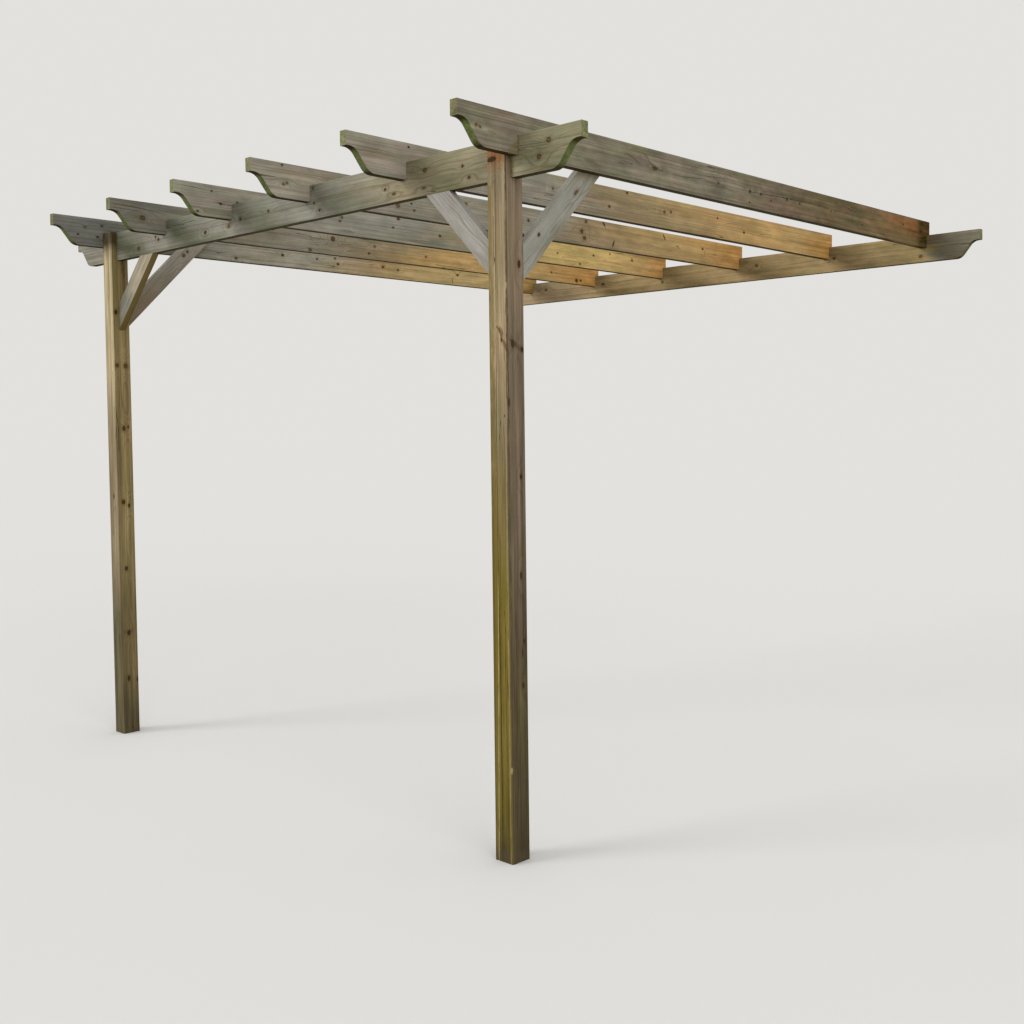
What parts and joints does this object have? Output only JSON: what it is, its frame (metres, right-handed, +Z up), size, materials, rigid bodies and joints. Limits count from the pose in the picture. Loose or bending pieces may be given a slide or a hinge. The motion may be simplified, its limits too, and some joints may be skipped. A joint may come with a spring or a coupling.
{
  "type": "lean-to pergola",
  "caption": "Wooden lean-to pergola: braced posts and an ogee-ended front beam carry halved rafters back to a plate on the wall.",
  "frame": {"origin": "middle of the wall plate's back face, which lies flat on the wall, 2552.5 mm above the ground", "axes": "+X along the wall to the right as seen from the garden, +Y into the wall, +Z up"},
  "size_m": [3.6, 3.6, 2.7],
  "materials": {
    "post_timber": "planed, weathered",
    "board_timber": "planed, weathered",
    "brace_timber": "planed, weathered"
  },
  "bodies": {
    "root": {"post_right": "post_timber", "post_left": "post_timber", "front_beam": "board_timber", "wall_plate": "board_timber", "rafter_1": "board_timber", "rafter_2": "board_timber", "rafter_3": "board_timber", "rafter_4": "board_timber", "rafter_5": "board_timber", "rafter_6": "board_timber", "brace_beam_right": "brace_timber", "brace_beam_left": "brace_timber", "brace_rafter_right": "brace_timber", "brace_rafter_left": "brace_timber"}
  },
  "joints": []
}
